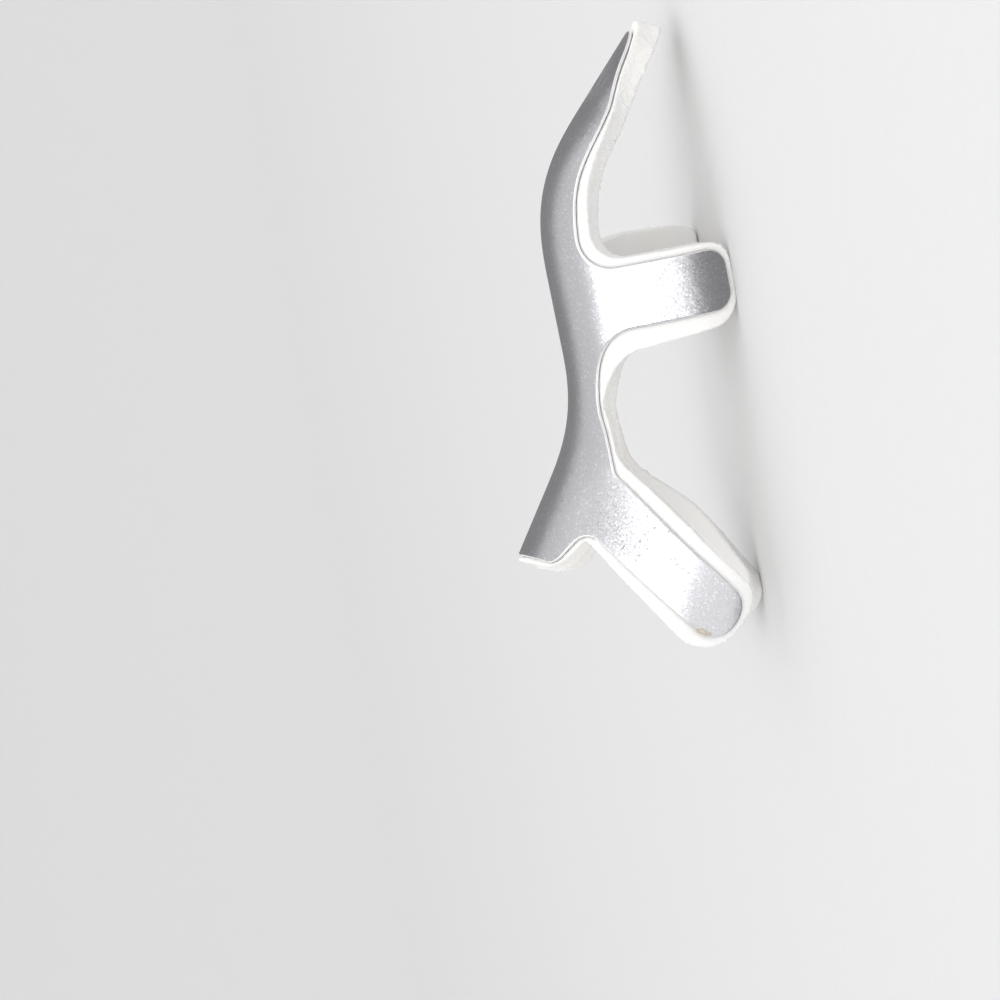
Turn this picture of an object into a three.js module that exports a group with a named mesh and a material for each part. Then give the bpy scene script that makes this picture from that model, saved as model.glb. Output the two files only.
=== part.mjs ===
// Finger splint: one stamped aluminium sheet, bent by hand round the palm side of a finger,
// with a foam liner bonded inside it. A broad tongue lies under the fingertip, two arms close
// round the middle of the finger, and two legs and a foot lie at the knuckle.
// It rests open side down: +X to the fingertip, +Y to the far side, +Z to the palm side.
import * as THREE from "three";

// Thicknesses, millimetres
const sheetThickness = 0.8;
const foamThickness = 3.5;
const glueFilm = 0.3;

// Flat blank of the sheet, half of it, measured from the tip (along) and the middle line (across)
const tipFlat = 7.0;
const tipTaper = 16.0;
const tongueHalfWidth = 9.7;
const waistPlace = 28.0;
const waistHalfWidth = 9.0;
const shoulderHalfWidth = 11.0;
const tongueLength = 43.9;
const armWidth = 10.2;
const armReach = 34.6;
const neckHalfWidth = 10.0;
const neckStraight = 10.8;
const windowLength = 20.2;
const legRootHalfWidth = 18.6;
const legWidth = 8.9;
const legReach = 48.4;
const legSweep = 18.5;
const notchHalfWidth = 18.6;
const footLength = 18.0;
const footCrown = 1.3;
const footFlat = 4.0;
const footHalfWidth = 15.8;

// Fillets of the blank's corners
const tipRound = 6.2;
const tongueRound = 40.0;
const waistRound = 40.0;
const shoulderRound = 6.6;
const armEndRound = 3.2;
const neckRound = 9.3;
const neckFlare = 10.5;
const legRootRound = 3.5;
const legEndRound = 4.3;
const notchRound = 3.0;
const footCornerRound = 2.6;
const footEndRound = 18.0;

// How far the foam stands out past each edge of the sheet
const foamPastTip = 2.1;
const foamTipNod = -20;
const foamPastTipSide = 0.4;
const foamPastTongue = 0.9;
const foamPastWaist = 2.2;
const foamPastShoulder = 2.5;
const foamPastArm = 1.5;
const foamPastArmEnd = 1.4;
const foamPastArmFoot = 2.3;
const foamPastArmRoot = 4.2;
const foamPastNeck = 1.25;
const foamPastFlare = 0.7;
const foamPastLegRoot = 1.6;
const foamPastLegTop = 2.5;
const foamPastLegEnd = 0.8;
const foamPastLegHeel = 2.2;
const foamPastLegFoot = 3.0;
const foamPastNotch = 1.3;
const foamPastFootSide = 1.0;
const foamPastFoot = 0.9;
const foamShoulderRound = 6.0;
const foamNeckRound = 13.5;
const foamFlareRound = 0.8;
const foamLegRootRound = 10.0;
const foamNotchRound = 0.6;
const foamFootRound = 7.0;

// Bending of the sheet: degrees for turns, millimetres for radii and lengths
const tipTilt = 32.5;
const tongueBend = -44.4;
const tongueBendStart = 14.6;
const kneeBend = 35.1;
const kneeBendLead = 1.4;
const kneeBendEnd = 6.1;
const fingerRadius = 13.5;
const roundTurn = 72;
const sideRadius = 60;
const curlRadius = 18;
const armCurlStart = 26;
const legCurlStart = 36;
const farArmCurlRadius = 400;
const farLegCurlRadius = 20;
const tipTwist = 9;
const armTwist = 2;
const legTwist = 20;
const farArmLift = 2.9;
const farLegLift = 1.5;
const liftShare = 0.7;

// Size of the faces
const outlineStep = 1.35;
const outlineLeast = 0.27;
const latticeStep = 2.2;
const latticeMargin = 1.36;
const walkStep = 0.25;
const settlingPasses = 12;

// Stations along the blank
const armTop = tongueLength;
const armBottom = armTop + armWidth;
const legRoot = armBottom + windowLength;
const footEnd = legRoot + footLength;

const radians = (degrees) => THREE.MathUtils.degToRad(degrees);
const ease = (value, from, to) => THREE.MathUtils.smoothstep(value, from, to);

// Value of a table at a place along the blank, with eased steps between its rows
function along(table, u) {
  let value = table[0].value;
  for (let row = 1; row < table.length; row += 1) {
    const step = table[row].value - table[row - 1].value;
    value += step * ease(u, table[row - 1].at, table[row].at);
  }
  return value;
}

// Radius of the rounded section, as shares of the finger's radius
const sectionRadius = [
  { at: 0, value: 2.4 * fingerRadius },
  { at: 0.32 * tongueLength, value: fingerRadius },
  { at: armBottom, value: fingerRadius },
  { at: armBottom + 0.43 * windowLength, value: 0.93 * fingerRadius },
  { at: legRoot, value: 1.04 * fingerRadius },
  { at: footEnd, value: 1.18 * fingerRadius },
];

// Turn of the section about the finger
const sectionTwist = [
  { at: 0, value: tipTwist },
  { at: 0.7 * tongueLength, value: 0 },
  { at: armTop, value: armTwist },
  { at: armBottom, value: armTwist },
  { at: legRoot + 0.27 * footLength, value: legTwist },
];

// Where the ends of the arms and legs begin to curl in
const curlStart = [
  { at: armBottom, value: armCurlStart },
  { at: legRoot, value: legCurlStart },
];
const farCurlRadius = [
  { at: armBottom, value: farArmCurlRadius },
  { at: legRoot, value: farLegCurlRadius },
];

// Corners of half the blank, from tip to foot: the fillet of each, how far the foam stands out past
// the edge that follows at its start and end, and the foam's own fillet where it isn't simply larger
function blankCorners() {
  const sweep = radians(legSweep);
  const legAt = (across, width) =>
    legRoot + (across - legRootHalfWidth) * Math.tan(sweep) + width / Math.cos(sweep);
  const corner = (u, v, round, past, pastEnd, foamRound = round + past) => {
    return { u, v, round, past, pastEnd, foamRound };
  };
  const legEnd = { u: legAt(legReach, legWidth / 2), v: legReach };
  const notch = { u: legAt(notchHalfWidth, legWidth), v: notchHalfWidth };
  const halfLeg = { u: (legWidth / 2) * Math.cos(sweep), v: (legWidth / 2) * Math.sin(sweep) };
  return [
    corner(0, tipFlat, tipRound, foamPastTipSide, foamPastTongue),
    corner(tipTaper, tongueHalfWidth, tongueRound, foamPastTongue, foamPastWaist),
    corner(waistPlace, waistHalfWidth, waistRound, foamPastWaist, foamPastShoulder),
    corner(armTop, shoulderHalfWidth, shoulderRound, foamPastArm, foamPastArm, foamShoulderRound),
    corner(armTop, armReach, armEndRound, foamPastArmEnd, foamPastArmEnd),
    corner(armBottom, armReach, armEndRound, foamPastArmFoot, foamPastArmRoot),
    corner(armBottom, neckHalfWidth, neckRound, foamPastNeck, foamPastNeck, foamNeckRound),
    corner(armBottom + neckStraight, neckHalfWidth, neckFlare, foamPastFlare, foamPastFlare, foamFlareRound),
    corner(legRoot, legRootHalfWidth, legRootRound, foamPastLegRoot, foamPastLegTop, foamLegRootRound),
    corner(legEnd.u - halfLeg.u, legEnd.v + halfLeg.v, legEndRound, foamPastLegEnd, foamPastLegHeel),
    corner(legEnd.u + halfLeg.u, legEnd.v - halfLeg.v, legEndRound, foamPastLegFoot, foamPastNotch),
    corner(notch.u, notch.v, notchRound, foamPastFootSide, foamPastFootSide, foamNotchRound),
    corner(footEnd - footCrown, footHalfWidth, footCornerRound, foamPastFoot, foamPastFoot, foamFootRound),
    corner(footEnd, footFlat, footEndRound, foamPastFoot, foamPastFoot),
  ];
}

// The whole outline: the half and its mirror image, round again from foot to tip
function wholeBlank() {
  const half = blankCorners();
  const mirrored = half.map((corner, i) => ({
    ...corner,
    v: -corner.v,
    past: i > 0 ? half[i - 1].pastEnd : foamPastTip,
    pastEnd: i > 0 ? half[i - 1].past : foamPastTip,
  }));
  return [...half, ...mirrored.reverse()];
}

// The foam's corners: each edge of the blank moved out by its own margins
function grown(corners) {
  const edges = corners.map((from, i) => {
    const to = corners[(i + 1) % corners.length];
    const out = new THREE.Vector2(from.v - to.v, to.u - from.u).normalize();
    const point = new THREE.Vector2(from.u, from.v).addScaledVector(out, from.past);
    const end = new THREE.Vector2(to.u, to.v).addScaledVector(out, from.pastEnd);
    return { point, direction: end.sub(point).normalize() };
  });
  return corners.map((corner, i) => {
    const before = edges[(i + edges.length - 1) % edges.length];
    const after = edges[i];
    const turn = before.direction.cross(after.direction);
    const reach = after.point.clone().sub(before.point).cross(after.direction) / turn;
    const place = before.point.clone().addScaledVector(before.direction, reach);
    return { ...corner, u: place.x, v: place.y, round: corner.foamRound };
  });
}

// Points along an outline with its corners rounded; fillets that meet on an edge share it
function roundedOutline(corners) {
  const count = corners.length;
  const places = corners.map((corner) => new THREE.Vector2(corner.u, corner.v));
  const bends = corners.map((corner, i) => {
    const back = places[(i + count - 1) % count].clone().sub(places[i]);
    const ahead = places[(i + 1) % count].clone().sub(places[i]);
    const cosine = back.dot(ahead) / (back.length() * ahead.length());
    const halfAngle = Math.acos(THREE.MathUtils.clamp(cosine, -1, 1)) / 2;
    return { back, ahead, halfAngle, cut: corner.round / Math.tan(halfAngle) };
  });
  const room = bends.map((bend, i) => {
    const next = bends[(i + 1) % count];
    return Math.min(1, bend.ahead.length() / (bend.cut + next.cut));
  });
  const points = [];
  bends.forEach(({ back, ahead, halfAngle, cut: wanted }, i) => {
    const here = places[i];
    const cut = wanted * Math.min(room[i], room[(i + count - 1) % count]);
    const radius = cut * Math.tan(halfAngle);
    const start = here.clone().addScaledVector(back.normalize(), cut);
    const end = here.clone().addScaledVector(ahead.normalize(), cut);
    const inward = back.clone().add(ahead).normalize();
    const centre = here.clone().addScaledVector(inward, radius / Math.sin(halfAngle));
    const sweep = Math.PI - 2 * halfAngle;
    const steps = Math.max(1, Math.ceil((radius * sweep) / outlineStep));
    const spoke = start.clone().sub(centre);
    const way = Math.sign(spoke.cross(end.clone().sub(centre))) || 1;
    for (let k = 0; k <= steps; k += 1) {
      points.push(spoke.clone().rotateAround(new THREE.Vector2(), (way * sweep * k) / steps).add(centre));
    }
  });
  const toNext = (point, i) => point.distanceTo(points[(i + 1) % points.length]);
  const spaced = points.filter((point, i) => toNext(point, i) > outlineLeast);
  return spaced.flatMap((point, i) => {
    const next = spaced[(i + 1) % spaced.length];
    const steps = Math.max(1, Math.round(point.distanceTo(next) / outlineStep));
    return Array.from({ length: steps }, (_, k) => point.clone().lerp(next, k / steps));
  });
}

function isInside(point, outline) {
  let inside = false;
  outline.forEach((a, i) => {
    const b = outline[(i + 1) % outline.length];
    const crosses = a.y > point.y !== b.y > point.y;
    if (crosses && point.x < a.x + ((b.x - a.x) * (point.y - a.y)) / (b.y - a.y)) inside = !inside;
  });
  return inside;
}

// Staggered rows of points that fill an outline and stay off its edge
function latticeInside(outline) {
  const box = new THREE.Box2().setFromPoints(outline);
  const rowHeight = latticeStep * Math.sin(radians(60));
  const rows = Math.ceil(box.max.y / rowHeight);
  const points = [];
  for (let row = -rows; row <= rows; row += 1) {
    const shift = row % 2 === 0 ? 0 : latticeStep / 2;
    for (let u = box.min.x + shift; u < box.max.x; u += latticeStep) {
      const point = new THREE.Vector2(u, row * rowHeight);
      const clear = outline.every((edge) => edge.distanceTo(point) > latticeMargin);
      if (clear && isInside(point, outline)) points.push(point);
    }
  }
  return points;
}

// Triangles between flat points, none holding another point inside its circle
function triangulate(points) {
  const far = 1e4;
  const roundOff = 1e-9;
  const frame = [[-far, -far], [far, -far], [0, far]].map(([x, y]) => new THREE.Vector2(x, y));
  const all = [...points, ...frame];
  const circled = (a, b, c) => {
    const p = all[a];
    const q = all[b].clone().sub(p);
    const r = all[c].clone().sub(p);
    const twice = 2 * q.cross(r);
    const x = (r.y * q.lengthSq() - q.y * r.lengthSq()) / twice;
    const y = (q.x * r.lengthSq() - r.x * q.lengthSq()) / twice;
    return { corners: [a, b, c], x: p.x + x, y: p.y + y, reach: x * x + y * y };
  };
  const count = points.length;
  let triangles = [circled(count, count + 1, count + 2)];
  points.forEach((point, index) => {
    const rim = new Map();
    triangles = triangles.filter((triangle) => {
      const gap = (point.x - triangle.x) ** 2 + (point.y - triangle.y) ** 2;
      if (gap > triangle.reach * (1 - roundOff)) return true;
      const [a, b, c] = triangle.corners;
      [[a, b], [b, c], [c, a]].forEach(([from, to]) => {
        if (!rim.delete(`${to}_${from}`)) rim.set(`${from}_${to}`, [from, to]);
      });
      return false;
    });
    rim.forEach(([from, to]) => triangles.push(circled(from, to, index)));
  });
  return triangles.map((triangle) => triangle.corners).filter((corners) => corners.every((c) => c < count));
}

// Middle line of the formed sheet, walked from the tip in short steps
const walk = (() => {
  const start = -2 * foamPastTip;
  const heading = (u) => {
    const nod = foamTipNod * ease(-u, 0, foamPastTip);
    const tongue = tongueBend * ease(u, tongueBendStart, tongueLength + kneeBendLead);
    const knee = kneeBend * ease(u, armBottom + kneeBendLead, legRoot + kneeBendEnd);
    return radians(tipTilt + nod + tongue + knee);
  };
  const places = [new THREE.Vector2()];
  const count = Math.ceil((footEnd + 2 * footLength - start) / walkStep);
  for (let k = 1; k <= count; k += 1) {
    const angle = heading(start + (k - 0.5) * walkStep);
    const stride = new THREE.Vector2(-Math.cos(angle), Math.sin(angle)).multiplyScalar(walkStep);
    places.push(places[k - 1].clone().add(stride));
  }
  return (u) => {
    const k = Math.min(Math.floor((u - start) / walkStep), count - 1);
    const place = places[k].clone().lerp(places[k + 1], (u - start) / walkStep - k);
    return { x: place.x, z: place.y, angle: heading(u) };
  };
})();

// Section across the finger: a round bottom, nearly flat sides, then ends that curl in
function sectionAt(u, v) {
  const radius = along(sectionRadius, u);
  const roundEnd = radius * radians(roundTurn);
  const curlFrom = Math.max(along(curlStart, u), roundEnd);
  const endRadius = v > 0 ? along(farCurlRadius, u) : curlRadius;
  const arcs = [
    { from: 0, to: roundEnd, radius },
    { from: roundEnd, to: curlFrom, radius: sideRadius },
    { from: curlFrom, to: Infinity, radius: endRadius },
  ];
  const place = { across: 0, deep: 0, angle: 0 };
  arcs.forEach((arc) => {
    const length = Math.max(0, Math.min(Math.abs(v), arc.to) - arc.from);
    const angle = place.angle + length / arc.radius;
    place.across += arc.radius * (Math.sin(angle) - Math.sin(place.angle));
    place.deep += arc.radius * (Math.cos(place.angle) - Math.cos(angle));
    place.angle = angle;
  });
  place.across *= Math.sign(v);
  place.angle *= Math.sign(v);
  return place;
}

// A flat point (u, v) and its depth under the sheet's outer face, in the formed splint
function formed(u, v, depth) {
  const onLegs = ease(u, armBottom, legRoot);
  const armLift = farArmLift * ease(v, tongueHalfWidth, liftShare * armReach) * (1 - onLegs);
  const legLift = farLegLift * ease(v, legRootHalfWidth, liftShare * legReach) * onLegs;
  const spine = walk(u - armLift - legLift);
  const section = sectionAt(u, v);
  const across = section.across - depth * Math.sin(section.angle);
  const deep = section.deep + depth * Math.cos(section.angle) - fingerRadius;
  const twist = radians(along(sectionTwist, u));
  const y = across * Math.cos(twist) - deep * Math.sin(twist);
  const inward = across * Math.sin(twist) + deep * Math.cos(twist) + fingerRadius;
  const x = spine.x - inward * Math.sin(spine.angle);
  const z = spine.z - inward * Math.cos(spine.angle);
  return new THREE.Vector3(x, y, z);
}

// A closed layer of the blank, formed between two depths
function formedLayer(corners, outerDepth, innerDepth) {
  const outline = roundedOutline(corners);
  const flat = [...outline, ...latticeInside(outline)];
  const faces = triangulate(flat).filter((corner) => {
    const middle = new THREE.Vector2();
    corner.forEach((c) => middle.addScaledVector(flat[c], 1 / 3));
    return isInside(middle, outline);
  });
  const edges = new Map();
  faces.forEach(([a, b, c]) => {
    [[a, b], [b, c], [c, a]].forEach(([from, to]) => {
      if (!edges.delete(`${to}_${from}`)) edges.set(`${from}_${to}`, [from, to]);
    });
  });
  const count = flat.length;
  const outer = faces.flatMap(([a, b, c]) => [a, c, b]);
  const inner = faces.flatMap(([a, b, c]) => [a + count, b + count, c + count]);
  const rim = [...edges.values()].flatMap(([a, b]) => [a, b, b + count, a, b + count, a + count]);
  const atDepth = (depth) => flat.flatMap((p) => formed(p.x, p.y, depth).toArray());
  const vertices = [...atDepth(outerDepth), ...atDepth(innerDepth)];
  const geometry = new THREE.BufferGeometry();
  geometry.setAttribute("position", new THREE.Float32BufferAttribute(vertices, 3));
  geometry.setIndex([...outer, ...inner, ...rim]);
  geometry.computeVertexNormals();
  return geometry;
}

// Depths of the foam's glued face and of its inner face under the sheet's outer face
const foamDepths = [sheetThickness + glueFilm, sheetThickness + glueFilm + foamThickness];

// Lay the splint open side down, on the ends of both arms and of the leg that reaches furthest
function restingTurn(corners) {
  const outline = roundedOutline(corners);
  const turn = new THREE.Quaternion();
  const lowest = (belongs) => {
    const atDepth = (p) => foamDepths.map((depth) => formed(p.x, p.y, depth).applyQuaternion(turn));
    return outline.filter(belongs).flatMap(atDepth).reduce((low, point) => (point.z < low.z ? point : low));
  };
  for (let pass = 0; pass < settlingPasses; pass += 1) {
    const nearArm = lowest((p) => p.y < 0 && p.x < legRoot);
    const farArm = lowest((p) => p.y > 0 && p.x < legRoot);
    const leg = lowest((p) => p.x > legRoot);
    const up = farArm.sub(nearArm).cross(leg.sub(nearArm)).normalize();
    if (up.z < 0) up.negate();
    turn.premultiply(new THREE.Quaternion().setFromUnitVectors(up, new THREE.Vector3(0, 0, 1)));
  }
  return turn;
}

const aluminium = new THREE.MeshStandardMaterial({ color: 0xb9b7bc, metalness: 1, roughness: 0.38 });
const whiteFoam = new THREE.MeshStandardMaterial({ color: 0xf6f3ec, metalness: 0, roughness: 0.95 });

const shell = new THREE.Mesh(formedLayer(wholeBlank(), 0, sheetThickness), aluminium);
shell.name = "aluminium_shell";

const liner = new THREE.Mesh(formedLayer(grown(wholeBlank()), ...foamDepths), whiteFoam);
liner.name = "foam_liner";

const splint = new THREE.Group();
splint.add(shell, liner);
splint.quaternion.copy(restingTurn(grown(wholeBlank())));
splint.updateMatrixWorld(true);
const bounds = new THREE.Box3().setFromObject(splint, true);
const middle = bounds.getCenter(new THREE.Vector3());
splint.position.set(-middle.x, -middle.y, -bounds.min.z);

export default splint;
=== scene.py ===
import math

import bpy
import numpy as np
from mathutils import Matrix, Vector
from mathutils.geometry import delaunay_2d_cdt


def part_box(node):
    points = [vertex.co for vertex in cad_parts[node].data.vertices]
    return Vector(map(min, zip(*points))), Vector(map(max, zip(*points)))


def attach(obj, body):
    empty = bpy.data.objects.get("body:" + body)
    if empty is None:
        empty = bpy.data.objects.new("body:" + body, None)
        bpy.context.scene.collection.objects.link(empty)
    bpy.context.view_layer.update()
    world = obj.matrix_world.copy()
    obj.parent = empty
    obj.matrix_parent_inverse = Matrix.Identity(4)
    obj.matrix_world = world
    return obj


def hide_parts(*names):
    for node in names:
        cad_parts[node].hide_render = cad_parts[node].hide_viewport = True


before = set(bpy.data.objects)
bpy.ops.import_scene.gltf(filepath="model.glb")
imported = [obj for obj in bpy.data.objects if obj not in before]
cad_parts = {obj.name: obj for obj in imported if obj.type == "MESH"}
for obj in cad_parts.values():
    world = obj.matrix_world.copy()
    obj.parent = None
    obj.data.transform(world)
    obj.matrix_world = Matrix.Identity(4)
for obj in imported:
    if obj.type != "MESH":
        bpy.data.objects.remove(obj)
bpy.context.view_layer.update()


# The aluminium sheet
# One stamped sheet of bare aluminium, bent by hand to an open channel: a tongue at the tip end, two arms
# that close round its middle, a narrow neck, and two splayed legs and a foot at the other end.
# Its flat blank is symmetric. Lengths here are millimetres: u runs from tip to foot, v across the blank.
sheet_thickness = 0.8
tip_flat = 7.0
tip_taper = 16.0
tongue_half_width = 9.7
waist_place = 28.0
waist_half_width = 9.0
shoulder_half_width = 11.0
tongue_length = 43.9
arm_width = 10.2
arm_reach = 34.6
neck_half_width = 10.0
neck_straight = 10.8
window_length = 20.2
leg_root_half_width = 18.6
leg_width = 8.9
leg_reach = 48.4
leg_sweep = math.radians(18.5)
notch_half_width = 18.6
foot_length = 18.0
foot_crown = 1.3
foot_flat = 4.0
foot_half_width = 15.8
foam_past_tip = 2.1

arm_top = tongue_length
arm_bottom = arm_top + arm_width
leg_root = arm_bottom + window_length
foot_end = leg_root + foot_length


def down_leg(across, width):
    """Place along the blank of a line parallel to the leg, width below the leg's upper edge."""
    return leg_root + (across - leg_root_half_width) * math.tan(leg_sweep) + width / math.cos(leg_sweep)


# Corners of half the blank from tip to foot: u, v, fillet of the sheet, fillet of the foam, and how far the
# foam stands out past the edge that follows, at the edge's start and at its end
leg_middle = down_leg(leg_reach, leg_width / 2)
half_leg = (leg_width / 2 * math.cos(leg_sweep), leg_width / 2 * math.sin(leg_sweep))
half_blank = [
    (0, tip_flat, 6.2, 6.6, 0.4, 0.9),
    (tip_taper, tongue_half_width, 40, 40.9, 0.9, 2.2),
    (waist_place, waist_half_width, 40, 42.2, 2.2, 2.5),
    (arm_top, shoulder_half_width, 6.6, 6.0, 1.5, 1.5),
    (arm_top, arm_reach, 3.2, 4.6, 1.4, 1.4),
    (arm_bottom, arm_reach, 3.2, 5.5, 2.3, 4.2),
    (arm_bottom, neck_half_width, 9.3, 13.5, 1.25, 1.25),
    (arm_bottom + neck_straight, neck_half_width, 10.5, 0.8, 0.7, 0.7),
    (leg_root, leg_root_half_width, 3.5, 10.0, 1.6, 2.5),
    (leg_middle - half_leg[0], leg_reach + half_leg[1], 4.3, 5.1, 0.8, 2.2),
    (leg_middle + half_leg[0], leg_reach - half_leg[1], 4.3, 7.3, 3.0, 1.3),
    (down_leg(notch_half_width, leg_width), notch_half_width, 3.0, 0.6, 1.0, 1.0),
    (foot_end - foot_crown, foot_half_width, 2.6, 7.0, 0.9, 0.9),
    (foot_end, foot_flat, 18.0, 18.9, 0.9, 0.9),
]
near_half = [(u, -v, *rest) for u, v, *rest in reversed(half_blank)]
corner_table = np.array(half_blank + near_half)
blank_corners = corner_table[:, :2]
sheet_rounds, foam_rounds = corner_table[:, 2], corner_table[:, 3]
far_margins = corner_table[: len(half_blank), 4:]
near_margins = np.vstack([far_margins[-2::-1, ::-1], [(foam_past_tip, foam_past_tip)]])
foam_margins = np.vstack([far_margins, near_margins])

# How the blank is bent: slopes and bends of its middle line in degrees, turns of its section in radians, and
# tables with a place along the blank and a value, eased from row to row
tip_tilt = 32.5
foam_tip_nod = -20
tongue_bend = -44.4
tongue_bend_start = 14.6
knee_bend = 35.1
knee_bend_lead = 1.4
knee_bend_end = 6.1
finger_radius = 13.5
round_turn = math.radians(72)
side_radius = 60
curl_radius = 18
tip_twist = math.radians(9)
arm_twist = math.radians(2)
leg_twist = math.radians(20)
arm_curl_start = 26
leg_curl_start = 36
far_arm_curl_radius = 400
far_leg_curl_radius = 20
section_radius = [
    (0, 2.4 * finger_radius),
    (0.32 * tongue_length, finger_radius),
    (arm_bottom, finger_radius),
    (arm_bottom + 0.43 * window_length, 0.93 * finger_radius),
    (leg_root, 1.04 * finger_radius),
    (foot_end, 1.18 * finger_radius),
]
section_twist = [
    (0, tip_twist),
    (0.7 * tongue_length, 0),
    (arm_top, arm_twist),
    (arm_bottom, arm_twist),
    (leg_root + 0.27 * foot_length, leg_twist),
]
curl_start = [(arm_bottom, arm_curl_start), (leg_root, leg_curl_start)]
far_curl_radius = [(arm_bottom, far_arm_curl_radius), (leg_root, far_leg_curl_radius)]
far_arm_lift = 2.9
far_leg_lift = 1.5
lift_share = 0.7


def eased(value, start, end):
    """Share of the way from start to end, with a soft start and a soft stop."""
    share = np.clip((value - start) / (end - start), 0, 1)
    return share * share * (3 - 2 * share)


def along(u, rows):
    """Value of a table at u: its first value plus each eased step that lies before u."""
    value = np.full(np.shape(u), float(rows[0][1]))
    for (start, before), (end, after) in zip(rows, rows[1:]):
        value += (after - before) * eased(u, start, end)
    return value


def heading(u):
    """Slope of the blank's middle line at u, in radians: tilted at the tip, level under the arms."""
    nod = foam_tip_nod * eased(-u, 0, foam_past_tip)
    tongue = tongue_bend * eased(u, tongue_bend_start, tongue_length + knee_bend_lead)
    knee = knee_bend * eased(u, arm_bottom + knee_bend_lead, leg_root + knee_bend_end)
    return np.radians(tip_tilt + nod + tongue + knee)


# Middle line of the bent sheet, walked in short steps from well before the tip to well past the foot
walk_step = 0.02
walk_u = np.arange(-12, foot_end + 40, walk_step)
walk_stride = np.diff(walk_u, append=walk_u[-1])
walk_x = np.cumsum(-np.cos(heading(walk_u)) * walk_stride)
walk_z = np.cumsum(np.sin(heading(walk_u)) * walk_stride)


def bent(u, v, depth):
    """The bent splint: the section at u is a round bottom, flatter sides and curled ends, followed out to
    the arc length v, then inwards by depth, twisted about the channel's middle and set on the middle line."""
    radius = along(u, section_radius)
    round_end = radius * round_turn
    curl_from = np.maximum(along(u, curl_start), round_end)
    curl = np.where(v > 0, along(u, far_curl_radius), curl_radius)
    reach = np.abs(v)
    across, deep, angle = np.zeros_like(reach), np.zeros_like(reach), np.zeros_like(reach)
    stretches = [(0, round_end, radius), (round_end, curl_from, side_radius), (curl_from, np.inf, curl)]
    for start, end, arc in stretches:
        next_angle = angle + np.maximum(0, np.minimum(reach, end) - start) / arc
        across = across + arc * (np.sin(next_angle) - np.sin(angle))
        deep = deep + arc * (np.cos(angle) - np.cos(next_angle))
        angle = next_angle
    across = np.sign(v) * (across - depth * np.sin(angle))
    deep = deep + depth * np.cos(angle) - finger_radius
    twist = along(u, section_twist)
    y = across * np.cos(twist) - deep * np.sin(twist)
    inward = across * np.sin(twist) + deep * np.cos(twist) + finger_radius
    on_legs = eased(u, arm_bottom, leg_root)
    lift = far_arm_lift * eased(v, tongue_half_width, lift_share * arm_reach) * (1 - on_legs)
    lift = lift + far_leg_lift * eased(v, leg_root_half_width, lift_share * leg_reach) * on_legs
    lifted = u - lift
    x = np.interp(lifted, walk_u, walk_x) - inward * np.sin(heading(lifted))
    z = np.interp(lifted, walk_u, walk_z) - inward * np.cos(heading(lifted))
    return np.stack([x, y, z], axis=-1)


def unit(vectors):
    """Vectors scaled to length one."""
    return vectors / np.linalg.norm(vectors, axis=-1, keepdims=True)


def rounded(corners, rounds, step):
    """Even points along a closed outline with a fillet at each corner. A fillet is its tangent point turned
    about the fillet's centre, and two fillets that meet on an edge share it."""
    back, ahead = np.roll(corners, 1, 0) - corners, np.roll(corners, -1, 0) - corners
    half_angle = np.arccos(np.clip((unit(back) * unit(ahead)).sum(1), -1, 1)) / 2
    cut = rounds / np.tan(half_angle)
    room = np.minimum(1, np.linalg.norm(ahead, axis=1) / (cut + np.roll(cut, -1)))
    cut = cut * np.minimum(room, np.roll(room, 1))
    radius = cut * np.tan(half_angle)
    centre = corners + unit(unit(back) + unit(ahead)) * (radius / np.sin(half_angle))[:, None]
    spoke = corners + unit(back) * cut[:, None] - centre
    end = corners + unit(ahead) * cut[:, None] - centre
    way = np.sign(spoke[:, 0] * end[:, 1] - spoke[:, 1] * end[:, 0])
    fillet_points = 60
    turn = (way * (math.pi - 2 * half_angle))[:, None] * np.linspace(0, 1, fillet_points)
    arc_u = centre[:, :1] + spoke[:, :1] * np.cos(turn) - spoke[:, 1:] * np.sin(turn)
    arc_v = centre[:, 1:] + spoke[:, :1] * np.sin(turn) + spoke[:, 1:] * np.cos(turn)
    dense = np.stack([arc_u.ravel(), arc_v.ravel()], axis=1)
    closed = np.vstack([dense, dense[:1]])
    run = np.concatenate([[0], np.cumsum(np.linalg.norm(np.diff(closed, axis=0), axis=1))])
    at = np.linspace(0, run[-1], round(run[-1] / step), endpoint=False)
    return np.stack([np.interp(at, run, closed[:, 0]), np.interp(at, run, closed[:, 1])], axis=1)


def inset(outline, distance):
    """An even outline moved in along its own normals."""
    run = np.roll(outline, -1, 0) - np.roll(outline, 1, 0)
    outward = unit(np.stack([-run[:, 1], run[:, 0]], axis=1))
    return outline - distance * outward


def inside_rows(outline, spacing):
    """Staggered rows of points inside an outline. A point is inside where an odd number of the outline's
    edges cross its row past it."""
    height = spacing * math.sin(math.radians(60))
    rows = np.arange(outline[:, 1].min() + height / 2, outline[:, 1].max(), height)
    ends = np.roll(outline, -1, 0)
    kept = []
    for number, v in enumerate(rows):
        crosses = (outline[:, 1] > v) != (ends[:, 1] > v)
        share = (v - outline[crosses, 1]) / (ends[crosses, 1] - outline[crosses, 1])
        walls = np.sort(outline[crosses, 0] + share * (ends[crosses, 0] - outline[crosses, 0]))
        u = np.arange(outline[:, 0].min() + number % 2 * spacing / 2, outline[:, 0].max(), spacing)
        u = u[np.searchsorted(walls, u) % 2 == 1]
        kept.append(np.stack([u, np.full_like(u, v)], axis=1))
    return np.vstack(kept)


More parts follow.
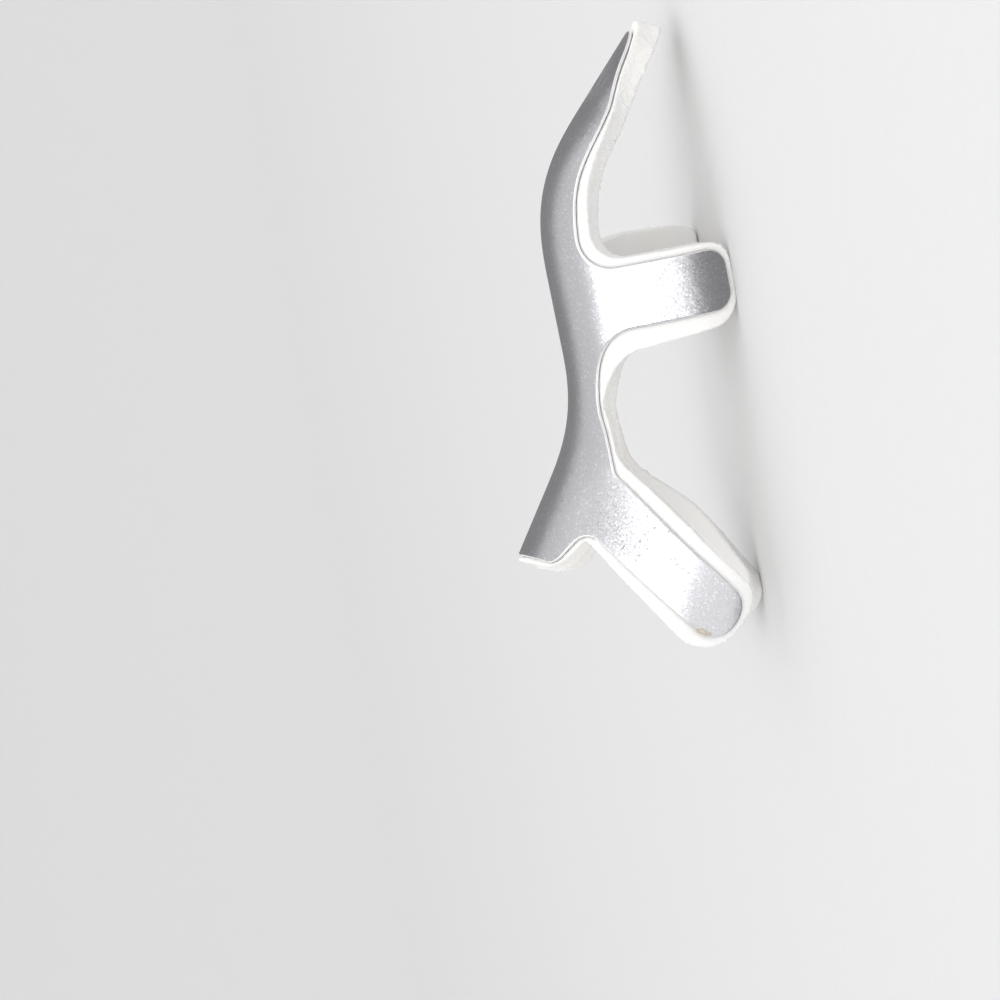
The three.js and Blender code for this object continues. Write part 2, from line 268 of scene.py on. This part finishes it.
def filled(ring, spacing):
    """Triangles that fill a ring, whose points come first, over staggered rows of points inside it."""
    points = np.vstack([ring, inside_rows(inset(ring, 0.6 * spacing), spacing)])
    count = len(ring)
    walls = np.stack([np.arange(count), (np.arange(count) + 1) % count], axis=1)
    result = delaunay_2d_cdt(points.tolist(), walls.tolist(), [], 1, 1e-6)
    source = np.array([origins[0] for origins in result[3]])
    faces = source[np.array(result[2])]
    a, b, c = (points[faces[:, k]] for k in range(3))
    turn = (b[:, 0] - a[:, 0]) * (c[:, 1] - a[:, 1]) - (b[:, 1] - a[:, 1]) * (c[:, 0] - a[:, 0])
    faces[turn < 0] = faces[turn < 0][:, ::-1]
    return points, faces


def layer(outline, edge_profile, spacing):
    """A closed layer of the blank: its outline carried through edge_profile, whose rows are an inset and a
    depth from the outer face to the inner one, and both faces filled. Returns u, v, depth, inset rows and
    triangles."""
    (first_inset, first_depth), (last_inset, last_depth) = edge_profile[0], edge_profile[-1]
    outer, outer_faces = filled(inset(outline, first_inset), spacing)
    inner, inner_faces = filled(inset(outline, last_inset), spacing)

    def at(points, past, deep):
        return np.column_stack([points, np.full(len(points), deep), np.full(len(points), past)])

    middle = [at(inset(outline, past), past, deep) for past, deep in edge_profile[1:-1]]
    places = np.vstack([at(outer, first_inset, first_depth), at(inner, last_inset, last_depth), *middle])
    count, start = len(outline), len(outer) + len(inner)
    rings = [np.arange(count)]
    rings += [start + k * count + np.arange(count) for k in range(len(middle))]
    rings += [len(outer) + np.arange(count)]
    triangles = [outer_faces, len(outer) + inner_faces[:, ::-1]]
    for above, below in zip(rings, rings[1:]):
        next_above, next_below = np.roll(above, -1), np.roll(below, -1)
        triangles.append(np.stack([above, next_above, next_below], axis=1))
        triangles.append(np.stack([above, next_below, below], axis=1))
    return places, np.vstack(triangles)


def grown(corners, margins):
    """Corners of the foam: each edge of the blank is moved out by its margins at both ends, and corners are
    where neighbouring edges then meet."""
    ends = np.roll(corners, -1, 0)
    run = unit(ends - corners)
    out = np.stack([-run[:, 1], run[:, 0]], axis=1)
    start = corners + out * margins[:, :1]
    way = unit(ends + out * margins[:, 1:] - start)
    start_before, way_before = np.roll(start, 1, 0), np.roll(way, 1, 0)
    turn = way_before[:, 0] * way[:, 1] - way_before[:, 1] * way[:, 0]
    gap = start - start_before
    reach = (gap[:, 0] * way[:, 1] - gap[:, 1] * way[:, 0]) / turn
    return start_before + way_before * reach[:, None]


# The splint rests open side down on the ends of both arms and of the leg that reaches furthest: each pass
# finds the lowest point of each and turns the plane through them level
foam_thickness = 3.5
foam_glued_depth = 1.1
foam_inner_depth = foam_glued_depth + foam_thickness
foam_outline_step = 0.2
foam_outline = rounded(grown(blank_corners, foam_margins), foam_rounds, foam_outline_step)
settling_passes = 12
rest_turn = Matrix.Identity(3)
feet_flat = np.vstack([foam_outline, foam_outline])
feet_depth = np.repeat([foam_glued_depth, foam_inner_depth], len(foam_outline))
feet = bent(feet_flat[:, 0], feet_flat[:, 1], feet_depth)
on_leg = feet_flat[:, 0] > leg_root
on_far_side = feet_flat[:, 1] > 0
for settling in range(settling_passes):
    turned = feet @ np.array(rest_turn).T
    lowest = [
        Vector(turned[chosen][turned[chosen][:, 2].argmin()])
        for chosen in (~on_leg & ~on_far_side, ~on_leg & on_far_side, on_leg)
    ]
    up = (lowest[1] - lowest[0]).cross(lowest[2] - lowest[0]).normalized()
    up = -up if up.z < 0 else up
    rest_turn = up.rotation_difference(Vector((0, 0, 1))).to_matrix() @ rest_turn

MM = 0.001
foam_low, foam_high = (np.array(corner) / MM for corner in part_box("foam_liner"))
feet = feet @ np.array(rest_turn).T
rest_shift = np.array([
    (foam_low[0] + foam_high[0] - feet[:, 0].min() - feet[:, 0].max()) / 2,
    (foam_low[1] + foam_high[1] - feet[:, 1].min() - feet[:, 1].max()) / 2,
    foam_low[2] - feet[:, 2].min(),
])


def resting(places):
    """Places u, v, depth of the blank as points of the resting splint, in millimetres."""
    return bent(places[:, 0], places[:, 1], places[:, 2]) @ np.array(rest_turn).T + rest_shift


def value_noise(points, size, seed):
    """Smooth random numbers from -1 to 1: a repeating block of random values, size millimetres apart, eased
    from corner to corner."""
    block = np.random.default_rng(seed).uniform(-1, 1, (32, 32, 32))
    cell = np.floor(points / size).astype(int)
    share = points / size - cell
    share = share * share * (3 - 2 * share)
    value = np.zeros(len(points))
    for corner in np.ndindex(2, 2, 2):
        weight = np.where(corner, share, 1 - share).prod(axis=1)
        i, j, k = ((cell + corner) % 32).T
        value += weight * block[i, j, k]
    return value


def surface(name, points, triangles, flat, material, **attributes):
    """A smooth closed mesh in metres, with its flat pattern as UV map and a number for each vertex under
    each attribute's name."""
    mesh = bpy.data.meshes.new(name)
    mesh.vertices.add(len(points))
    mesh.vertices.foreach_set("co", (points * MM).astype(np.float32).ravel())
    mesh.loops.add(triangles.size)
    mesh.loops.foreach_set("vertex_index", triangles.astype(np.int32).ravel())
    mesh.polygons.add(len(triangles))
    mesh.polygons.foreach_set("loop_start", np.arange(0, triangles.size, 3, dtype=np.int32))
    mesh.polygons.foreach_set("use_smooth", np.ones(len(triangles), bool))
    mesh.update(calc_edges=True)
    blank_map = mesh.uv_layers.new(name="blank")
    blank_map.data.foreach_set("uv", (flat[triangles.ravel()] * MM).astype(np.float32).ravel())
    for label, values in attributes.items():
        mesh.attributes.new(label, "FLOAT", "POINT").data.foreach_set("value", values.astype(np.float32))
    mesh.materials.append(material)
    piece = bpy.data.objects.new(name, mesh)
    bpy.context.scene.collection.objects.link(piece)
    return piece


def new_material(name):
    """An empty node material: its tree, its main shader and a function that adds and joins nodes."""
    material = bpy.data.materials.new(name)
    material.use_nodes = True
    tree = material.node_tree
    shader = next(node for node in tree.nodes if node.type == "BSDF_PRINCIPLED")

    def add(kind, inputs=(), **settings):
        node = tree.nodes.new(kind)
        for setting, value in settings.items():
            setattr(node, setting, value)
        for socket, value in dict(inputs).items():
            if isinstance(value, bpy.types.NodeSocket):
                tree.links.new(value, node.inputs[socket])
            else:
                node.inputs[socket].default_value = value
        return node

    return material, tree, shader, add


# Finish of the sheet: satin silver with fine flakes that each catch the light their own way, a few of them
# much more than the rest and a few with a painted sparkle, faint handling smudges, scuffs near the tip, a
# sheared edge of bare metal painted near white as a painted highlight, a band beside the foam painted dark
# grey as painted shade for the shadow between metal and foam, and a smear of dried glue at the near leg's end
silver_colour = (0.775, 0.765, 0.79)
# Near white on the sheared edge: bare metal with a painted highlight
sheared_highlight_colour = (0.92, 0.92, 0.92, 1)
# Dark grey painted on the edge beside the foam: painted shade for the shadow line between metal and foam
painted_shade_colour = (0.36, 0.36, 0.37, 1)
glue_rim_colour = (0.52, 0.46, 0.36, 1)
glue_colour = (0.68, 0.65, 0.58, 1)
flake_tilt = 0.10
big_flake_tilt = 0.20
glue_spot = (91.5 * MM, -43.5 * MM, 0)
glue_stretch = (2.1, 0.8, 1)
scuff_spot = (9.5 * MM, -1.5 * MM, 0)
streak_stretch = (0.5, 3.5, 1)
sheet_finish, tree, shader, add = new_material("satin_aluminium")
link = tree.links.new
place = add("ShaderNodeTexCoord").outputs["Object"]
blank_place = add("ShaderNodeUVMap", uv_map="blank").outputs["UV"]
flakes = add("ShaderNodeTexVoronoi", {"Vector": place, "Scale": 5200})
big_flakes = add("ShaderNodeTexVoronoi", {"Vector": place, "Scale": 3600})
smudge = add("ShaderNodeTexNoise", {"Vector": place, "Scale": 130, "Detail": 3, "Roughness": 0.5})
sheared_share = add("ShaderNodeAttribute", attribute_name="sheared").outputs["Fac"]
painted_shade_share = add("ShaderNodeAttribute", attribute_name="painted_shade_band").outputs["Fac"]

# Each flake leans its own way, and a few of the big ones lean further
centre = (0.5, 0.5, 0.5)
tilt = add("ShaderNodeVectorMath", {0: flakes.outputs["Color"], 1: centre}, operation="SUBTRACT")
tilt = add("ShaderNodeVectorMath", {0: tilt.outputs[0], "Scale": flake_tilt}, operation="SCALE")
chance = add("ShaderNodeSeparateColor", {"Color": big_flakes.outputs["Color"]})
rare = add("ShaderNodeMapRange", {"Value": chance.outputs[0], "From Min": 0.95, "From Max": 0.97})
wide = add("ShaderNodeVectorMath", {0: big_flakes.outputs["Color"], 1: centre}, operation="SUBTRACT")
wide = add("ShaderNodeVectorMath", {0: wide.outputs[0], "Scale": big_flake_tilt}, operation="SCALE")
wide = add("ShaderNodeVectorMath", {0: wide.outputs[0], "Scale": rare.outputs[0]}, operation="SCALE")
normal = add("ShaderNodeNewGeometry").outputs["Normal"]
normal = add("ShaderNodeVectorMath", {0: normal, 1: tilt.outputs[0]}, operation="ADD")
normal = add("ShaderNodeVectorMath", {0: normal.outputs[0], 1: wide.outputs[0]}, operation="ADD")
normal = add("ShaderNodeVectorMath", {0: normal.outputs[0]}, operation="NORMALIZE")
link(normal.outputs[0], shader.inputs["Normal"])

# The glue is a ragged oval with a darker rim
glue_place = add("ShaderNodeVectorMath", {0: blank_place, 1: glue_spot}, operation="SUBTRACT")
glue_place = add("ShaderNodeVectorMath", {0: glue_place.outputs[0], 1: glue_stretch}, operation="MULTIPLY")
from_glue = add("ShaderNodeVectorMath", {0: glue_place.outputs[0]}, operation="LENGTH").outputs["Value"]
ragged = add("ShaderNodeTexNoise", {"Vector": place, "Scale": 900, "Detail": 4}).outputs["Fac"]
ragged = add("ShaderNodeMath", {0: ragged, 1: 0.0028}, operation="MULTIPLY").outputs[0]
from_glue = add("ShaderNodeMath", {0: from_glue, 1: ragged}, operation="ADD").outputs[0]
glue_middle = add("ShaderNodeMapRange", {"Value": from_glue, "From Min": 0.0024, "From Max": 0.0016})
glue_share = add("ShaderNodeMapRange", {"Value": from_glue, "From Min": 0.0028, "From Max": 0.0023})
glue_share = glue_share.outputs[0]

# The scuffs are streaks along the tongue that fade out round their spot
from_scuff = add("ShaderNodeVectorMath", {0: blank_place, 1: scuff_spot}, operation="DISTANCE")
from_scuff = from_scuff.outputs["Value"]
scuffed_area = add("ShaderNodeMapRange", {"Value": from_scuff, "From Min": 0.0055, "From Max": 0.002})
streaks = add("ShaderNodeVectorMath", {0: blank_place, 1: streak_stretch}, operation="MULTIPLY")
streaks = add("ShaderNodeTexNoise", {"Vector": streaks.outputs[0], "Scale": 900, "Detail": 3})
streaks = add("ShaderNodeMapRange", {"Value": streaks.outputs["Fac"], "From Min": 0.5, "From Max": 0.62})
scuff = add("ShaderNodeMath", {0: scuffed_area.outputs[0], 1: streaks.outputs[0]}, operation="MULTIPLY")
scuff = scuff.outputs[0]

# Colour: silver that differs from flake to flake, with a painted sparkle on a few flakes, then the edge's two
# bands, the sheared one's painted highlight and the painted shade beside the foam, then the glue over them
flake_tone = add("ShaderNodeSeparateColor", {"Color": flakes.outputs["Color"]}).outputs[1]
flake_tone = add("ShaderNodeMapRange", {"Value": flake_tone, "To Min": 0.9, "To Max": 1.06}).outputs[0]
# A few flakes have their colour brightened by up to a fifth: a painted sparkle
painted_sparkle = add("ShaderNodeMapRange", {"Value": chance.outputs[1], "From Min": 0.93, "From Max": 0.95})
painted_sparkle = add("ShaderNodeMapRange", {"Value": painted_sparkle.outputs[0], "To Min": 1.0, "To Max": 1.22}).outputs[0]
scuff_tone = add("ShaderNodeMath", {0: scuff, 1: 0.6, 2: 1.0}, operation="MULTIPLY_ADD").outputs[0]
tone = add("ShaderNodeMath", {0: flake_tone, 1: painted_sparkle}, operation="MULTIPLY").outputs[0]
tone = add("ShaderNodeMath", {0: tone, 1: scuff_tone}, operation="MULTIPLY").outputs[0]
silver = add("ShaderNodeVectorMath", {0: silver_colour, "Scale": tone}, operation="SCALE").outputs[0]
# The sheared edge gets the near white: bare metal with a painted highlight
bright = add("ShaderNodeMix", {"Factor": sheared_share, 6: silver, 7: sheared_highlight_colour}, data_type="RGBA")
# The band beside the foam gets the dark grey: painted shade
with_painted_shade = add("ShaderNodeMix", {"Factor": painted_shade_share, 6: bright.outputs[2], 7: painted_shade_colour}, data_type="RGBA")
dried = add("ShaderNodeMix", {"Factor": glue_middle.outputs[0]}, data_type="RGBA")
dried.inputs[6].default_value = glue_rim_colour
dried.inputs[7].default_value = glue_colour
layers = {"Factor": glue_share, 6: with_painted_shade.outputs[2], 7: dried.outputs[2]}
colour = add("ShaderNodeMix", layers, data_type="RGBA")
link(colour.outputs[2], shader.inputs["Base Color"])

# Roughness and metallic: smudged satin, rougher where it is scuffed, in the painted shade band beside the
# foam, or under glue
satin = add("ShaderNodeMapRange", {"Value": smudge.outputs["Fac"], "From Min": 0.3, "From Max": 0.7})
satin = add("ShaderNodeMapRange", {"Value": satin.outputs[0], "To Min": 0.30, "To Max": 0.34})
worn = add("ShaderNodeMath", {0: scuff, 1: 0.15, 2: satin.outputs[0]}, operation="MULTIPLY_ADD")
rough = add("ShaderNodeMath", {0: glue_share, 1: painted_shade_share}, operation="MAXIMUM")
shine = add("ShaderNodeMix", {"Factor": rough.outputs[0], 2: worn.outputs[0], 3: 0.62})
link(shine.outputs[0], shader.inputs["Roughness"])
# Less metallic on the sheared edge, so its near white shows as a painted highlight, and under glue
metal = add("ShaderNodeMath", {0: glue_share, 1: sheared_share}, operation="MAXIMUM")
metal = add("ShaderNodeMapRange", {"Value": metal.outputs[0], "To Min": 1.0, "To Max": 0.3})
link(metal.outputs[0], shader.inputs["Metallic"])

# The sheared edge rolls over on the outer side, is bare metal painted near white as a painted highlight, and
# beside the foam is painted dark grey as painted shade for the shadow between metal and foam
sheet_edge = [
    (0.45, 0.0),
    (0.26, 0.0),
    (0.16, 0.01),
    (0.08, 0.035),
    (0.03, 0.08),
    (0.0, 0.16),
    (0.0, 0.48),
    (0.0, 0.54),
    (0.0, 0.70),
    (0.03, 0.77),
    (0.10, 0.8),
    (0.40, 0.8),
]
# Depths where the sheared edge's bright band starts, and where the painted shade band beside the foam starts
# and ends
sheared_start, shade_band_start, shade_band_end = 0.02, 0.5, 0.79
sheet_outline_step = 0.25
sheet_spacing = 0.5
sheet_outline = rounded(blank_corners, sheet_rounds, sheet_outline_step)
sheet_places, sheet_faces = layer(sheet_outline, sheet_edge, sheet_spacing)
sheet_points = resting(sheet_places)
sheet_flat, sheet_depth = sheet_places[:, :2], sheet_places[:, 2]
# The edge's bands: the bright sheared face, and the band beside the foam that is painted dark as shade
bands = {
    "sheared": ((sheet_depth > sheared_start) & (sheet_depth < shade_band_start)).astype(float),
    "painted_shade_band": ((sheet_depth > shade_band_start) & (sheet_depth < shade_band_end)).astype(float),
}
sheet = surface("splint_sheet", sheet_points, sheet_faces, sheet_flat, sheet_finish, **bands)
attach(sheet, "root")
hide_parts("aluminium_shell")


# The foam liner
# One sheet of white closed-cell foam, die cut a little larger than the aluminium and bonded inside it.
# Its margin swells past the metal's edge, and its cut edges show cells, small nicks and crumbs.
glue_gap = 0.03
swell = 0.42
foam_face = sheet_thickness + glue_gap
foam_edge = [
    (0.90, foam_face),
    (0.45, foam_face),
    (0.22, foam_face + 0.03),
    (0.08, foam_face + 0.12),
    (0.02, foam_face + 0.3),
    (0.03, foam_face + 0.6),
    (0.06, foam_face + 0.9),
    (0.09, foam_face + 1.2),
    (0.11, foam_face + 1.5),
    (0.12, foam_face + 1.8),
    (0.11, foam_face + 2.1),
    (0.09, foam_face + 2.4),
    (0.06, foam_face + 2.7),
    (0.03, foam_face + 3.0),
    (0.03, foam_inner_depth - 0.36),
    (0.10, foam_inner_depth - 0.12),
    (0.26, foam_inner_depth - 0.02),
    (0.50, foam_inner_depth),
    (0.90, foam_inner_depth),
]


def past_outline(points, outline):
    """How far points lie outside an even outline, less than nothing inside it: the distance to its nearest
    point, with the sign of its outward normal there. Worked out in blocks of points."""
    outward = unit(outline - inset(outline, 1))
    block_size = 2000
    distance = []
    for block in np.array_split(points, 1 + len(points) // block_size):
        gaps = np.linalg.norm(block[:, None] - outline[None], axis=2)
        nearest = gaps.argmin(axis=1)
        side = np.sign(((block - outline[nearest]) * outward[nearest]).sum(axis=1))
        distance.append(side * gaps.min(axis=1))
    return np.concatenate(distance)


def outward_normals(points, triangles):
    """Unit normals at the points: the sum of the areas of the triangles that meet there."""
    a, b, c = (points[triangles[:, k]] for k in range(3))
    area = np.cross(b - a, c - a)
    total = np.zeros(points.shape)
    for axis in range(3):
        for k in range(3):
            total[:, axis] += np.bincount(triangles[:, k], area[:, axis], len(points))
    return unit(total)


# Past the sheet's edge, where nothing holds it down, the foam's outer face swells outwards
foam_spacing = 0.55
foam_places, foam_faces = layer(foam_outline, foam_edge, foam_spacing)
under_face = foam_places[:, 2] - foam_face
to_inner = foam_inner_depth - foam_places[:, 2]
near_edge = 1 - eased(foam_places[:, 3], 0.15, 0.8)
past_sheet = past_outline(foam_places[:, :2], sheet_outline)
foam_places[:, 2] -= swell * eased(past_sheet, 0.05, 0.8) * (1 - eased(under_face, 0, 1.2))
foam_points = resting(foam_places)
foam_normals = outward_normals(foam_points, foam_faces)

# Soft lumps all over, creases where the foam's inner face is squeezed in the bend, and a rough cut edge with
# nicks torn out of its corners, crumbs left standing and open cells; the feet are pressed flat by the floor
flat_place = foam_places[:, :3]
lumps = 0.03 * value_noise(foam_points, 6.0, 1) + 0.015 * value_noise(foam_points, 1.6, 2)
squeezed = (1 - eased(np.abs(foam_places[:, 1]), 12, 20)) * (1 - eased(to_inner, 0.1, 1.0))
creases = -0.10 * squeezed * np.maximum(0, value_noise(flat_place * (0.12, 1, 0.3), 1.5, 3)) ** 2
corner_share = near_edge * (1 - eased(np.minimum(under_face + 0.1, to_inner), 0.25, 0.9))
nicks = -0.20 * corner_share * eased(value_noise(flat_place, 0.5, 4), 0.4, 0.9)
crumbs = 0.14 * corner_share * eased(value_noise(flat_place, 0.45, 5), 0.6, 0.95)
cut = (1 - eased(foam_places[:, 3], 0.12, 0.35)) * eased(np.minimum(under_face, to_inner), -0.05, 0.1)
cells = 0.05 * cut * value_noise(foam_points, 0.55, 6)
foam_points = foam_points + foam_normals * (lumps + creases + nicks + crumbs + cells)[:, None]
foam_points[:, 2] = np.maximum(foam_points[:, 2], foam_low[2])

# Finish of the foam: warm white, matt, slightly see-through in the thin, fine cells that are open where it is
# cut, with painted shade in their pits, and closed on its skin, and faint warmer patches of grime
clean_colour = (0.955, 0.945, 0.93, 1)
grimy_colour = (0.945, 0.925, 0.895, 1)
cell_relief = 0.08 * MM
foam_finish, tree, shader, add = new_material("white_foam")
link = tree.links.new
place = add("ShaderNodeTexCoord").outputs["Object"]
open_share = add("ShaderNodeAttribute", attribute_name="cut").outputs["Fac"]
cell = add("ShaderNodeTexVoronoi", {"Vector": place, "Scale": 2300, "Smoothness": 0.4}, feature="SMOOTH_F1")
small_cell = add("ShaderNodeTexVoronoi", {"Vector": place, "Scale": 5200})
skin = add("ShaderNodeTexNoise", {"Vector": place, "Scale": 1500, "Detail": 5, "Roughness": 0.6})
stain = add("ShaderNodeTexNoise", {"Vector": place, "Scale": 70, "Detail": 3})
cell, small_cell = cell.outputs["Distance"], small_cell.outputs["Distance"]
pores = add("ShaderNodeMath", {0: cell, 1: small_cell}, operation="ADD")
texture = add("ShaderNodeMix", {"Factor": open_share, 2: skin.outputs["Fac"], 3: pores.outputs[0]})
bump = add("ShaderNodeBump", {"Height": texture.outputs[0], "Strength": 0.6, "Distance": cell_relief})
link(bump.outputs[0], shader.inputs["Normal"])
warmth = add("ShaderNodeMapRange", {"Value": stain.outputs["Fac"], "From Min": 0.35, "From Max": 0.7})
white = add("ShaderNodeMix", {"Factor": warmth.outputs[0]}, data_type="RGBA")
white.inputs[6].default_value = clean_colour
white.inputs[7].default_value = grimy_colour
# Where the foam is cut, the pits of its open cells are painted up to 4% darker: painted shade in the pores
pore_shade = add("ShaderNodeMapRange", {"Value": pores.outputs[0], "From Min": 0.2, "To Min": 0.96})
shade = add("ShaderNodeMix", {"Factor": open_share, 2: 1.0, 3: pore_shade.outputs[0]})
shaded = add("ShaderNodeVectorMath", {0: white.outputs[2], "Scale": shade.outputs[0]}, operation="SCALE")
link(shaded.outputs[0], shader.inputs["Base Color"])
shader.inputs["Roughness"].default_value = 0.82
shader.inputs["Subsurface Weight"].default_value = 0.25
shader.inputs["Subsurface Radius"].default_value = (1.0, 0.9, 0.8)
shader.inputs["Subsurface Scale"].default_value = 0.0012
shader.inputs["Specular IOR Level"].default_value = 0.3

liner = surface("splint_foam", foam_points, foam_faces, foam_places[:, :2], foam_finish, cut=cut)
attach(liner, "root")
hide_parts("foam_liner")


# The studio
# A plain pale floor that sweeps up into a low wall, soft light for the foam and the floor, panels that only
# the metal mirrors, and the photograph's camera, which is rolled so that the splint stands upright.
camera_place = (0.05264, -0.49398, 0.09289)
camera_forward = Vector((-0.1471, 0.984, -0.1002))
picture_up = Vector((0.9752, 0.1274, -0.181))
camera_focus_pixels = 3030.3
picture_pixels = 1000
camera_data = bpy.data.cameras.new("camera")
camera_data.sensor_width = 36
camera_data.lens = camera_data.sensor_width * camera_focus_pixels / picture_pixels
camera_data.clip_start = 0.01
camera_data.clip_end = 20
camera = bpy.data.objects.new("camera", camera_data)
picture_right = camera_forward.cross(picture_up).normalized()
picture_up = picture_right.cross(camera_forward).normalized()
turn = Matrix((picture_right, picture_up, -camera_forward)).transposed()
camera.matrix_world = Matrix.Translation(camera_place) @ turn.to_4x4()
bpy.context.scene.collection.objects.link(camera)
bpy.context.scene.camera = camera

# The floor is a wide bowl, flat under the splint and swept up into a low wall on every side; the metal
# doesn't mirror it
floor_finish, tree, shader, add = new_material("pale_floor")
place = add("ShaderNodeTexCoord").outputs["Object"]
floor_grain = add("ShaderNodeTexNoise", {"Vector": place, "Scale": 300})
floor_tone = add("ShaderNodeMapRange", {"Value": floor_grain.outputs["Fac"], "To Min": 0.71, "To Max": 0.73})
tree.links.new(floor_tone.outputs[0], shader.inputs["Base Color"])
shader.inputs["Roughness"].default_value = 0.9
flat_radius, sweep_radius, sides = 1.5, 2.0, 96
sweep = np.linspace(0, math.radians(75), 31)
ring_radius = np.concatenate([[flat_radius - 0.1], flat_radius + sweep_radius * np.sin(sweep)])
ring_height = np.concatenate([[0], sweep_radius * (1 - np.cos(sweep))])
around = np.arange(sides) / sides * 2 * math.pi
floor_points = [
    (radius * math.cos(angle), radius * math.sin(angle), height)
    for radius, height in zip(ring_radius, ring_height)
    for angle in around
]
floor_faces = [tuple(range(sides))]
for ring in range(len(ring_radius) - 1):
    for k in range(sides):
        here, after = ring * sides + k, ring * sides + (k + 1) % sides
        floor_faces.append((here, here + sides, after + sides, after))
floor_mesh = bpy.data.meshes.new("floor")
floor_mesh.from_pydata(floor_points, [], floor_faces)
floor_mesh.polygons.foreach_set("use_smooth", [True] * len(floor_faces))
floor_mesh.materials.append(floor_finish)
floor = bpy.data.objects.new("floor", floor_mesh)
floor.visible_glossy = False
bpy.context.scene.collection.objects.link(floor)


def area_light(name, size, radiance):
    """A rectangular light that the camera doesn't see, size (width, height) in metres. Its power is the
    radiance of its face times pi times its area."""
    data = bpy.data.lights.new(name, "AREA")
    data.shape = "RECTANGLE"
    data.size, data.size_y = size
    data.energy = radiance * math.pi * size[0] * size[1]
    light = bpy.data.objects.new(name, data)
    light.visible_camera = False
    bpy.context.scene.collection.objects.link(light)
    return light


def soft_light(name, azimuth, height, aim, size, radiance, mirrored):
    """An area light a metre away from aim, at azimuth degrees from the camera's side and height degrees up.
    The metal mirrors it and nothing else is lit by it, or the other way round."""
    turned, raised = math.radians(azimuth), math.radians(height)
    level = math.cos(raised)
    way = Vector((math.sin(turned) * level, -math.cos(turned) * level, math.sin(raised)))
    light = area_light(name, size, radiance)
    light.location = Vector(aim) + way
    light.rotation_euler = way.to_track_quat("Z", "Y").to_euler()
    light.visible_glossy, light.visible_diffuse = mirrored, not mirrored


def low_panel(name, low, high, radiance):
    """A glow that lies on the floor between the corners low and high, seen only as a reflection in metal."""
    light = area_light(name, (high[0] - low[0], high[1] - low[1]), radiance)
    light.location = ((low[0] + high[0]) / 2, (low[1] + high[1]) / 2, 0.5 * MM)
    light.rotation_euler = (math.pi, 0, 0)
    light.visible_diffuse = False


# Soft light from the camera's side and from a wide ceiling
soft_light("key", 10, 29, (0, 0, 0.02), (0.9, 1.06), 1.1, False)
soft_light("ceiling", 0, 90, (0, 0, 1.6), (10, 10), 0.88, False)
# What the metal mirrors: a softbox beside the camera with a smaller one above it, a dim panel beside the tip
# end, a dim ceiling, and low panels before the near leg and the near arm and on the far side
soft_light("softbox", 12, 19, (0, 0, 0.02), (0.86, 0.70), 2.1, True)
soft_light("high_softbox", -5, 49, (0, 0, 0.02), (0.55, 0.37), 2.1, True)
soft_light("tip_panel", 75, 27, (0, 0, 0.02), (0.9, 0.85), 0.42, True)
soft_light("tip_ceiling", 0, 90, (0.3, -0.1, 0.5), (2.4, 2.0), 0.42, True)
low_panel("leg_panel", (-0.11, -0.175), (-0.02, -0.025), 0.7)
low_panel("arm_panel", (-0.02, -0.2), (0.12, -0.04), 0.62)
low_panel("far_panel", (-0.12, 0.03), (0.12, 0.25), 0.6)
world = bpy.data.worlds.new("studio")
world.use_nodes = True
world.node_tree.nodes["Background"].inputs["Color"].default_value = (0.25, 0.25, 0.255, 1)
bpy.context.scene.world = world
bpy.context.scene.view_settings.view_transform = "Standard"
